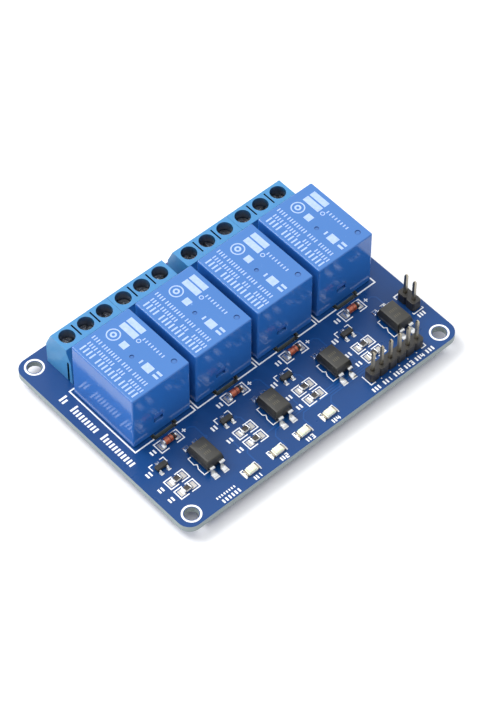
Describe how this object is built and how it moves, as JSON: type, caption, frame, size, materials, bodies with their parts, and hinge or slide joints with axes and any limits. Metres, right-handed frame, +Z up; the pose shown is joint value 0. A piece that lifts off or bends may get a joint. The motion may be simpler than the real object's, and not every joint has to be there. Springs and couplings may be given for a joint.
{
  "type": "relay module board",
  "caption": "Relay module: blue circuit board with sugar-cube relays, screw terminals, optocouplers and pin headers, for switching mains or low-voltage loads from logic signals",
  "frame": {"origin": "centre of the board outline in plan, on the plane of the soldered pin tips that the board rests on", "axes": "+X runs along the relay row towards the two-pin header end, +Y from the pin header to the screw terminals, +Z up out of the component side"},
  "size_m": [0.077, 0.056, 0.0192],
  "materials": {
    "board_laminate": "glossy deep blue solder mask over glass-epoxy laminate",
    "relay_case": "moulded blue PBT, glossy with faint grain",
    "relay_base": "moulded blue PBT",
    "bobbin_nylon": "moulded natural nylon",
    "enamelled_copper": "close-wound enamelled copper wire",
    "nickelled_iron": "stamped soft iron, dull nickel plate",
    "contact_bronze": "rolled phosphor bronze",
    "tinned_pin": "stamped and tinned copper alloy",
    "terminal_case": "moulded sky-blue polyamide",
    "clamp_brass": "stamped nickelled brass",
    "plated_screw": "zinc-plated steel, slotted",
    "header_nylon": "moulded black nylon",
    "header_pin": "drawn square brass wire, pale gold flash",
    "black_epoxy": "transfer-moulded black epoxy",
    "tinned_lead": "bright tinned lead frame",
    "diode_glass": "drawn glass tube with an orange-red body",
    "chip_ceramic": "black glazed film on white alumina with tinned ends",
    "light_lens": "clear epoxy lens on a white laminate",
    "solder": "bright tin solder"
  },
  "bodies": {
    "root": {"circuit_board": "board_laminate", "signal_header_housing": "header_nylon", "signal_header_pins": "header_pin", "supply_header_housing": "header_nylon", "supply_header_pins": "header_pin", "optocoupler_bodies": "black_epoxy", "optocoupler_leads": "tinned_lead", "transistor_bodies": "black_epoxy", "transistor_leads": "tinned_lead", "diode_glass_tubes": "diode_glass", "diode_end_caps": "tinned_lead", "chip_resistors": "chip_ceramic", "indicator_lights": "light_lens", "surface_solder": "solder", "pin_solder": "solder", "relay_1_cover": "relay_case", "relay_1_base": "relay_base", "relay_1_bobbin": "bobbin_nylon", "relay_1_winding": "enamelled_copper", "relay_1_yoke_and_core": "nickelled_iron", "relay_1_terminals": "tinned_pin", "relay_2_cover": "relay_case", "relay_2_base": "relay_base", "relay_2_bobbin": "bobbin_nylon", "relay_2_winding": "enamelled_copper", "relay_2_yoke_and_core": "nickelled_iron", "relay_2_terminals": "tinned_pin", "relay_3_cover": "relay_case", "relay_3_base": "relay_base", "relay_3_bobbin": "bobbin_nylon", "relay_3_winding": "enamelled_copper", "relay_3_yoke_and_core": "nickelled_iron", "relay_3_terminals": "tinned_pin", "relay_4_cover": "relay_case", "relay_4_base": "relay_base", "relay_4_bobbin": "bobbin_nylon", "relay_4_winding": "enamelled_copper", "relay_4_yoke_and_core": "nickelled_iron", "relay_4_terminals": "tinned_pin", "terminal_1_housing": "terminal_case", "terminal_1_clamps": "clamp_brass", "terminal_1_screws": "plated_screw", "terminal_2_housing": "terminal_case", "terminal_2_clamps": "clamp_brass", "terminal_2_screws": "plated_screw", "terminal_3_housing": "terminal_case", "terminal_3_clamps": "clamp_brass", "terminal_3_screws": "plated_screw", "terminal_4_housing": "terminal_case", "terminal_4_clamps": "clamp_brass", "terminal_4_screws": "plated_screw"},
    "armature_1": {"relay_1_armature": "nickelled_iron", "relay_1_contact_leaf": "contact_bronze"},
    "armature_2": {"relay_2_armature": "nickelled_iron", "relay_2_contact_leaf": "contact_bronze"},
    "armature_3": {"relay_3_armature": "nickelled_iron", "relay_3_contact_leaf": "contact_bronze"},
    "armature_4": {"relay_4_armature": "nickelled_iron", "relay_4_contact_leaf": "contact_bronze"}
  },
  "joints": [
    {"name": "relay_1_armature_hinge", "type": "hinge", "parent": "root", "child": "armature_1", "pos_m": [-0.02527, -0.0029, 0.01443], "axis": [1, 0, 0], "range_deg": [-2.5, 0], "stiffness_Nm_per_rad": 0.02, "springref_deg": 2.86},
    {"name": "relay_2_armature_hinge", "type": "hinge", "parent": "root", "child": "armature_2", "pos_m": [-0.00813, -0.0029, 0.01443], "axis": [1, 0, 0], "range_deg": [-2.5, 0], "stiffness_Nm_per_rad": 0.02, "springref_deg": 2.86},
    {"name": "relay_3_armature_hinge", "type": "hinge", "parent": "root", "child": "armature_3", "pos_m": [0.00903, -0.0029, 0.01443], "axis": [1, 0, 0], "range_deg": [-2.5, 0], "stiffness_Nm_per_rad": 0.02, "springref_deg": 2.86},
    {"name": "relay_4_armature_hinge", "type": "hinge", "parent": "root", "child": "armature_4", "pos_m": [0.02618, -0.0029, 0.01443], "axis": [1, 0, 0], "range_deg": [-2.5, 0], "stiffness_Nm_per_rad": 0.02, "springref_deg": 2.86}
  ]
}
